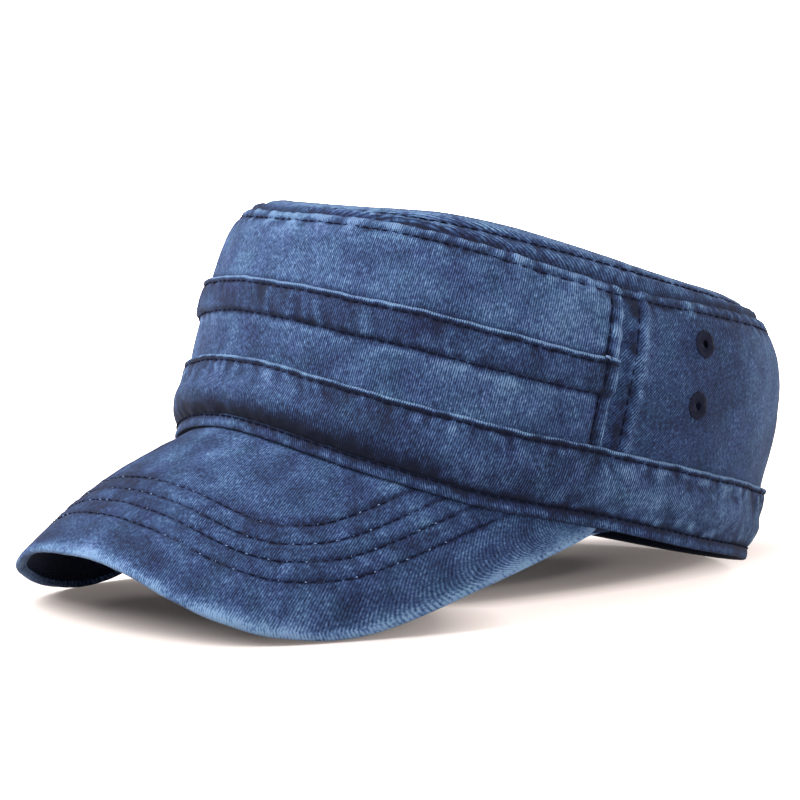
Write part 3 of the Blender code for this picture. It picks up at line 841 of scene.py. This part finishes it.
# Peak, upper cloth. The twill drawn tight over a curved stiffener, turned round its outer edge and
# a little way back underneath, and quilted to it with four rows of stitches that follow the edge.
PEAK_LENGTH = 69.0 * MM
PEAK_TIP_TURN = 82.0
PEAK_TIP_SHARE = 1.035
PEAK_CROWNING = 2.4 * MM
PEAK_THICKNESS = 2.6 * MM
PEAK_TUCK = 0.035
PEAK_TURN_UNDER = 1.4 * MM
PEAK_ROUNDING = 0.7
PEAK_MEAN_DROOP = math.radians(46.0)
PEAK_GRID = (400, 120)
FLAT_PART, BEND_PART = 0.80, 0.95
PEAK_ROWS = [17.5 * MM, 24.0 * MM, 30.0 * MM, 36.5 * MM]
HEM_THICKNESS = 2.6 * MM
PeakSection = namedtuple("PeakSection", "turn length droop")
PEAK_SECTIONS = [
    PeakSection(0.00, 0.985, 44.0),
    PeakSection(0.25, 1.005, 43.5),
    PeakSection(0.38, 1.035, 44.3),
    PeakSection(0.50, 1.055, 45.1),
    PeakSection(0.62, 1.020, 46.8),
    PeakSection(0.75, 0.830, 50.2),
    PeakSection(0.88, 0.420, 53.0),
    PeakSection(1.00, 0.060, 56.0),
]
twill_peak = washed_twill("peak", 16.0, base=0.44, mottle=0.95, ribs=0.30, rubbed_ribs=0.0)


def peak_lines(share):
    """For shares from tip to tip: brow points, outline points, way out of the edge, and facing."""

    def brow_at(share):
        around = np.zeros(len(share))
        brow = wall(share * PEAK_TIP_TURN, around, around - HEM_THICKNESS / 2)
        brow[:, 2] -= 0.3 * MM
        return brow

    def outline_at(share):
        turns = column(PEAK_SECTIONS, "turn")
        length, droop = (
            smooth_through(turns, column(PEAK_SECTIONS, name), np.abs(share), True)
            for name in ("length", "droop")
        )
        length = length * PEAK_LENGTH * easing((PEAK_TIP_SHARE + 0.005 - np.abs(share)) / 0.06)
        droop = droop - 1.8 * near(share + 0.47, 0.18) + 1.2 * near(share + 0.76, 0.12)
        droop = np.radians(droop)
        down = np.stack([np.zeros(len(share)), -np.cos(droop), -np.sin(droop)], axis=-1)
        return brow_at(share) + down * length[:, None], down, length

    small = 0.004
    outline, down, length = outline_at(share)
    facing = unit(np.cross(brow_at(share + small) - brow_at(share - small), -down))
    ahead = np.clip(share + small, -PEAK_TIP_SHARE, PEAK_TIP_SHARE)
    behind = np.clip(share - small, -PEAK_TIP_SHARE, PEAK_TIP_SHARE)
    outward = unit(np.cross(outline_at(ahead)[0] - outline_at(behind)[0], facing))
    return brow_at(share), outline, outward, facing, length


EDGE_LINE = peak_lines(np.linspace(-PEAK_TIP_SHARE, PEAK_TIP_SHARE, 721))[1]


def metres_along(points):
    steps = np.linalg.norm(np.diff(points, axis=0), axis=-1)
    return np.concatenate([[0], np.cumsum(steps)])


def flat_peak(share, run):
    """Where a point lies on the peak's flat cloth, so many metres in front of the brow."""
    shares = np.linspace(-PEAK_TIP_SHARE, PEAK_TIP_SHARE, 241)
    brow = peak_lines(shares)[0]
    ahead = np.array([0.0, -math.cos(PEAK_MEAN_DROOP), -math.sin(PEAK_MEAN_DROOP)])
    forward = brow @ ahead
    across = metres_along(brow - forward[:, None] * ahead)
    start = np.interp(share, shares, forward)
    return np.stack([np.interp(share, shares, across), start + run], axis=-1)


def from_edge(points):
    """Metres from the peak's outline."""
    return np.array([np.min(np.linalg.norm(EDGE_LINE - p, axis=-1)) for p in points])


def peak_surface(share, out):
    """The peak's plain upper face, tucked up into the binding by a small share of its length.

    out is 0 at the brow and 1 where the edge starts to turn under.
    """
    brow, outline, outward, facing, length = peak_lines(share)
    thickness = PEAK_THICKNESS * easing(length / (9 * MM))
    turned = outline - outward * PEAK_ROUNDING * thickness[:, None]
    crown = PEAK_CROWNING * np.sin(np.pi * np.clip(out, 0, 1)) * length / PEAK_LENGTH
    crown *= 1 + 0.9 * near(share + 0.5, 0.2)
    points = brow * (1 - out)[:, None] + turned * out[:, None] + facing * crown[:, None]
    return points, outward, facing, thickness


def peak_upper(u, v):
    share = (1 - 2 * u) * PEAK_TIP_SHARE
    out = np.clip(v / FLAT_PART, 0, 1) * (1 + PEAK_TUCK) - PEAK_TUCK
    points, outward, facing, thickness = peak_surface(share, out)
    distance = from_edge(points)
    relief = np.zeros(len(u))
    # Painted shade darkens the peak in its stitch furrows and where it runs under the binding at the
    # brow. Painted light makes it paler towards the wearer's left tip, the side turned from the key
    # light. Its outer edge is pale where it is rubbed.
    wear_and_shade = 1.15 * near(distance - 0.5 * MM, 2.6 * MM) - 0.35 * near(distance - 9 * MM, 5 * MM)
    for row in PEAK_ROWS:
        relief -= groove(distance - row, 0.42 * MM, 0.9 * MM)
        wear_and_shade -= 0.7 * near(distance - row, 0.7 * MM)
    quilted = easing((distance - 13 * MM) / (4 * MM)) * easing((41 * MM - distance) / (4 * MM))
    puckers = crumple(points, 3.2 * MM, 31.0)
    relief += quilted * 0.3 * MM * np.abs(puckers)
    relief += 0.45 * MM * crumple(points, 16 * MM, 33.0) + 0.16 * MM * crumple(points, 5 * MM, 35.0)
    wear_and_shade += (0.55 * puckers - 0.40) * quilted
    wear_and_shade += 0.45 * crumple(points, 13 * MM, 37.0) * (1 - quilted)
    wear_and_shade += 0.5 * share - 0.08 - 0.8 * near(v * PEAK_LENGTH, 1.5 * MM)
    points = points + facing * relief[:, None]
    thickness = thickness[:, None]
    bend = np.pi * np.clip((v - FLAT_PART) / (BEND_PART - FLAT_PART), 0, 1)[:, None]
    back_under = np.clip((v - BEND_PART) / (1 - BEND_PART), 0, 1)[:, None] * PEAK_TURN_UNDER
    swing = outward * np.sin(bend) * PEAK_ROUNDING * thickness
    swing -= facing * thickness / 2 * (1 - np.cos(bend))
    points = points + swing - outward * back_under * thickness / PEAK_THICKNESS
    wear_and_shade += 0.25 * np.sin(bend[:, 0])
    run = out * PEAK_LENGTH + bend[:, 0] * 0.6 * PEAK_THICKNESS + back_under[:, 0]
    return points, flat_peak(share, run), wear_and_shade


peak_top = cut_cloth("peak_upper_cloth", *PEAK_GRID, peak_upper, thickness=0.5 * MM)
peak_top.data.materials.append(twill_peak)
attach(peak_top, "root")
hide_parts("peak_upper")

# Peak, under cloth. Plain unwashed navy cotton, let in inside the turned edge, with the same four
# rows of stitches showing through as shallow furrows.
LINING_GRID = (260, 70)
navy_cotton = cotton_cloth(
    "plain navy cotton",
    45.0,
    ("#06080F", "#0B0F1C", "#12182B", "#1B2440", "#2A3658"),
    base=0.42,
    mottle=0.3,
    ribs=0.10,
)


def peak_under(u, v):
    share = (2 * u - 1) * PEAK_TIP_SHARE
    points, outward, facing, thickness = peak_surface(share, v * (1 + PEAK_TUCK) - PEAK_TUCK)
    distance = from_edge(points)
    relief = np.zeros(len(u))
    for row in PEAK_ROWS:
        relief += groove(distance - row, 0.3 * MM, 0.9 * MM)
    depth = thickness * 0.8 - relief - 0.15 * MM * crumple(points, 9 * MM, 51.0)
    wear_and_shade = 0.3 * crumple(points, 15 * MM, 53.0) + 2.0 * near(distance - 2.4 * MM, 0.5 * MM)
    return points - facing * depth[:, None], flat_peak(share, v * PEAK_LENGTH), wear_and_shade


peak_lining = cut_cloth("peak_under_cloth", *LINING_GRID, peak_under, thickness=0.6 * MM)
peak_lining.data.materials.append(navy_cotton)
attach(peak_lining, "root")
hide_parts("peak_under")

# Topstitching. Each stitch is a short length of spun thread that dips into the cloth at both ends.
# One is modelled, and every row is laid out with copies of it.
STITCH_LENGTH = 2.6 * MM
STITCH_GAP = 0.6 * MM
THREAD = 0.56 * MM
bpy.ops.object.select_all(action="DESELECT")
bpy.ops.mesh.primitive_uv_sphere_add(segments=6, ring_count=6, radius=1.0)
one_stitch = bpy.context.object
bpy.ops.object.mode_set(mode="EDIT")
bpy.ops.mesh.select_all(action="SELECT")
bpy.ops.transform.rotate(value=math.pi / 2, orient_axis="Y", center_override=(0, 0, 0))
bpy.ops.object.mode_set(mode="OBJECT")
STITCH_FORM = np.array([vert.co[:] for vert in one_stitch.data.vertices])
STITCH_FACES = [tuple(face.vertices) for face in one_stitch.data.polygons]
bpy.data.objects.remove(one_stitch)
STITCH_FORM[:, 0] = np.sign(STITCH_FORM[:, 0]) * np.abs(STITCH_FORM[:, 0]) ** 0.6


def point_at(run, along, points):
    return np.array([np.interp(run, along, points[:, j]) for j in range(3)])


def topstitching(name, rows, material, length=STITCH_LENGTH, thread=THREAD, gap=STITCH_GAP):
    """Rows of stitches in one piece. A row is its points on the cloth and the ways they face."""
    verts, faces = [], []
    for points, facings in rows:
        points, facings = as_it_lies(points), as_it_lies(facings) - SET_DOWN
        along = metres_along(points)
        count = int(along[-1] / (length + gap))
        for k in range(count):
            start = (k + 0.12) * (length + gap) + 0.3 * gap * math.sin(7.3 * k * k)
            ends = [point_at(run, along, points) for run in (start, start + length)]
            facing = point_at(start + length / 2, along, facings)
            ahead = unit(ends[1] - ends[0])
            facing = unit(facing - ahead * np.dot(facing, ahead))
            aside = np.cross(facing, ahead)
            middle = (ends[0] + ends[1]) / 2
            arch = 0.10 * MM - 0.34 * MM * STITCH_FORM[:, 0] ** 2
            form = (
                middle
                + ahead * STITCH_FORM[:, :1] * np.linalg.norm(ends[1] - ends[0]) / 2
                + aside * STITCH_FORM[:, 1:2] * thread / 2
                + facing * (STITCH_FORM[:, 2:3] * thread / 2 + arch[:, None])
            )
            faces += [tuple(i + len(verts) for i in face) for face in STITCH_FACES]
            verts += form.tolist()
    mesh = bpy.data.meshes.new(name)
    mesh.from_pydata(verts, [], faces)
    stitches = bpy.data.objects.new(name, mesh)
    bpy.context.scene.collection.objects.link(stitches)
    mesh.shade_smooth()
    mesh.materials.append(material)
    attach(stitches, "root")


def wall_row(turns, ups, relief):
    """A row of stitches on the wall: turns in degrees, ups and relief in metres."""
    turns, ups = np.broadcast_arrays(np.asarray(turns, float), np.asarray(ups, float))
    return wall(turns, ups, np.zeros(len(turns)) + relief), wall_facing(turns, ups)


topstitch_thread = spun_thread("navy spun cotton thread", "#0A0E1E", 0.85, 0.03)
front_turns = np.linspace(-SIDE_SEAM_TURN + 1, SIDE_SEAM_TURN - 1, 240)
round_turns = np.linspace(-180, 180, 480)
top_row = top_at(round_turns, lambda reach: 0 * reach + TOP_STITCH_IN)[0] - [0, 0, 0.1 * MM]
inset = math.degrees(SIDE_STITCH_IN / MEAN_RADIUS)
rear_inset = math.degrees(REAR_STITCH_IN / MEAN_RADIUS)
nape_inset = math.degrees(NAPE_STITCH_IN / MEAN_RADIUS)
side_ups = np.linspace(BAND_HEIGHT + 1 * MM, CROWN_HEIGHT - 4 * MM, 60)
wall_rows = [
    wall_row(round_turns, CROWN_HEIGHT - TOP_STITCH_DOWN, -0.25 * MM),
    wall_row(front_turns, lap_fold(front_turns) - LAP_STITCH_DOWN, SEAM_STEP - 0.35 * MM),
    wall_row(front_turns, lap_fold(front_turns) - LAP_HEM_DOWN, 0.45 * MM),
    wall_row(round_turns, band_fold(round_turns) - BAND_STITCH_DOWN, SEAM_STEP - 0.35 * MM),
    wall_row(round_turns, HEM_ROLL_HEIGHT + 0.1 * MM, -0.35 * MM),
]
for hand in HANDS.values():
    on_lap = SEAM_STEP * easing((side_ups - LAP_HEIGHT + LAP_HEM_DOWN) / (3 * MM))
    on_lap = np.where(side_ups > LAP_HEIGHT, 0, on_lap)
    wall_rows.append(wall_row(hand * (SIDE_SEAM_TURN - inset), side_ups, on_lap))
    wall_rows.append(wall_row(hand * (SIDE_SEAM_TURN + rear_inset), side_ups, -0.4 * MM))
    wall_rows.append(wall_row(hand * (180 - nape_inset), side_ups, -0.3 * MM))
wall_rows.append((top_row, top_row * 0 + [0, 0, 1.0]))
topstitching("wall_topstitching", wall_rows, topstitch_thread)


def peak_rows():
    """The peak's rows, found where the surface lies at each distance from the outline."""
    shares = np.linspace(-0.97, 0.97, 170)
    outs = np.linspace(0.0, 1.0, 60)
    share_grid, out_grid = (a.ravel() for a in np.meshgrid(shares, outs, indexing="ij"))
    points, _, facings, _ = peak_surface(share_grid, out_grid)
    distance = from_edge(points).reshape(len(shares), len(outs))
    points = points.reshape(len(shares), len(outs), 3)
    facings = facings.reshape(len(shares), len(outs), 3)
    for row in PEAK_ROWS:
        reached = [(d, p, f[0]) for d, p, f in zip(distance, points, facings) if d[0] > row]
        on_row = [point_at(-row, -d, p) for d, p, _ in reached]
        facing = np.array([f for _, _, f in reached])
        yield np.array(on_row) - 0.25 * MM * facing, facing


peak_row_lines = list(peak_rows())
topstitching("peak_topstitching", peak_row_lines, topstitch_thread, 3.1 * MM, 0.46 * MM)
pale_thread = spun_thread("faded blue spun cotton thread", "#526888", 0.85, 0.5)
topstitching("peak_thread_specks", peak_row_lines, pale_thread, 0.9 * MM, 0.36 * MM, 6.1 * MM)
tack_turns = np.linspace(75.6, 78.6, 12)
tack_drops = np.linspace(0.2, 1.8, 12)
tacks = [
    wall_row(hand * tack_turns, LAP_HEIGHT - tilt * tack_drops, SEAM_STEP + 0.1 * MM)
    for hand in HANDS.values()
    for tilt in (0.3 * MM, 1.0 * MM)
]
topstitching("lap_end_tacks", tacks, pale_thread, 2.0 * MM, 0.4 * MM, 0.3 * MM)

# Table. A matt white sweep, plain and larger than the view. The paper glows, though it is no lamp.
# The lamps' rays and the cap meet a glow that is faint under the peak and strongest well away from
# it, so that it lights the cap like a lamp. The camera sees a glow that is dimmed in two ovals under
# the crown and the peak, a painted shadow of the cap, and goes white close beside the cap, as in a
# cut-out studio picture.
bpy.ops.object.select_all(action="DESELECT")
bpy.ops.mesh.primitive_plane_add(size=40.0, location=(0, 0, 0))
table = bpy.context.object
table.name = table.data.name = "table"
table_white = bpy.data.materials.new("matt white paper, glowing, with a painted shadow")
table_white.use_nodes = True
table_shader = table_white.node_tree.nodes["Principled BSDF"]
table_shader.inputs["Roughness"].default_value = 0.8
on_table = add_node(table_white, "ShaderNodeTexCoord").outputs["Object"]
from_camera = add_node(table_white, "ShaderNodeLightPath").outputs["Is Camera Ray"]


def glow_of_paper(distance, strengths):
    """The paper's glow over a distance, from rows of distance and strength."""
    node = add_node(table_white, "ShaderNodeFloatCurve", {"Value": distance})
    curve = node.mapping.curves[0]
    curve.points[0].location = strengths[0]
    curve.points[1].location = strengths[-1]
    for row in strengths[1:-1]:
        curve.points.new(*row)
    for point in curve.points:
        point.handle_type = "VECTOR"
    node.mapping.update()
    return node.outputs["Value"]


PEAK_FOOT = (0.02, -0.13, 0.0)
from_peak = add_node(
    table_white, "ShaderNodeVectorMath", {0: on_table, 1: PEAK_FOOT}, operation="DISTANCE"
).outputs["Value"]
# This glow, met by the lamps' rays and the cap, lights the cap like a lamp.
glow_lighting_the_cap = glow_of_paper(from_peak, [(0, 0.02), (0.10, 0.03), (0.20, 0.27), (0.45, 0.45), (1, 1)])


def out_of_oval(middle, size):
    """The distance from the middle of an oval on the table, 1 at its rim."""
    place = add_node(
        table_white,
        "ShaderNodeMapping",
        {"Vector": on_table, "Location": middle, "Scale": size},
        vector_type="TEXTURE",
    ).outputs["Vector"]
    length = add_node(table_white, "ShaderNodeVectorMath", {0: place}, operation="LENGTH")
    return length.outputs["Value"]


# The two ovals under the crown and the peak are the painted shadow.
crown_shadow_oval = out_of_oval((-0.01, 0.02, 0.0), (0.080, 0.200, 1.0))
peak_shadow_oval = out_of_oval((0.005, -0.085, 0.0), (0.140, 0.110, 1.0))
from_painted_shadow = add_node(
    table_white, "ShaderNodeMath", {0: crown_shadow_oval, 1: peak_shadow_oval}, operation="MINIMUM"
).outputs[0]
glow_with_painted_shadow = glow_of_paper(
    from_painted_shadow,
    [(0, 0.02), (0.28, 0.04), (0.37, 0.12), (0.50, 0.17)]
    + [(0.56, 0.24), (0.63, 0.50), (0.77, 0.93), (1, 1)],
)
glow = add_node(table_white, "ShaderNodeMix", {0: from_camera, 2: glow_lighting_the_cap, 3: glow_with_painted_shadow}).outputs[0]
table_white.node_tree.links.new(glow, table_shader.inputs["Emission Strength"])
# The camera sees a darker, warmer paper colour and glow than the lamps' rays do: a painted shade
# tone.
for socket, lit, shown in (
    ("Base Color", "#B9AEA9", "#A39B98"),
    ("Emission Color", "#FFFBF9", "#FFF1EB"),
):
    tone = add_node(
        table_white,
        "ShaderNodeMix",
        {0: from_camera, 6: colour(lit), 7: colour(shown)},
        data_type="RGBA",
    ).outputs[2]
    table_white.node_tree.links.new(tone, table_shader.inputs[socket])
table.data.materials.append(table_white)

# Studio light. A wide key from the front of the cap and above, a weaker low fill to the right of
# the camera, and a rim light that catches the back. The white room dims towards its ceiling.
CAMERA_TARGET = Vector((0, 0.76, 45.25)) * MM
Lamp = namedtuple("Lamp", "name turn rise distance size power")
LAMPS = [
    Lamp("key", -26.0, 44.0, 1.6, 1.2, 97.0),
    Lamp("fill", 84.0, 14.0, 1.8, 0.8, 26.0),
    Lamp("rim", 160.0, 30.0, 1.8, 1.0, 19.0),
]


def way_out(turn, rise):
    """The way out from the cap, turn degrees from its front and rise degrees up."""
    turn, rise = math.radians(turn), math.radians(rise)
    level = math.cos(rise)
    return Vector((math.sin(turn) * level, -math.cos(turn) * level, math.sin(rise)))


for lamp in LAMPS:
    way = way_out(lamp.turn, lamp.rise)
    bpy.ops.object.light_add(type="AREA", location=CAMERA_TARGET + way * lamp.distance)
    light = bpy.context.object
    light.name = f"{lamp.name} light"
    light.rotation_euler = way.to_track_quat("Z", "Y").to_euler()
    light.data.size = lamp.size
    light.data.energy = lamp.power
room = bpy.data.worlds.new("white studio")
room.use_nodes = True
wall_light = room.node_tree.nodes["Background"]
wall_light.inputs["Strength"].default_value = 1.12
looking = add_node(room, "ShaderNodeTexCoord").outputs["Generated"]
upwards = add_node(room, "ShaderNodeSeparateXYZ", {"Vector": looking}).outputs["Z"]
dimmed = add_node(
    room,
    "ShaderNodeMapRange",
    {"Value": upwards, "From Min": 0.20, "From Max": 0.50, "To Min": 1.0, "To Max": 0.36},
)
room.node_tree.links.new(dimmed.outputs["Result"], wall_light.inputs["Color"])
bpy.context.scene.world = room
bpy.context.scene.view_settings.view_transform = "Standard"

# Camera. It stands a little above the table, off the cap's left front, with a long lens. The shift
# puts the cap as far from the middle of the picture as it is in the photo.
CAMERA_WAY = way_out(51.2, 6.88)
CAMERA_DISTANCE = 1.234
CAMERA_LENS = 171.7
PICTURE = 800
CAMERA_SHIFT = (-16.2, 48.2)
bpy.ops.object.camera_add(
    location=CAMERA_TARGET + CAMERA_WAY * CAMERA_DISTANCE,
    rotation=CAMERA_WAY.to_track_quat("Z", "Y").to_euler(),
)
camera = bpy.context.object
camera.data.lens = CAMERA_LENS
camera.data.clip_end = 50.0
camera.data.shift_x = CAMERA_SHIFT[0] / PICTURE
camera.data.shift_y = CAMERA_SHIFT[1] / PICTURE
bpy.context.scene.camera = camera
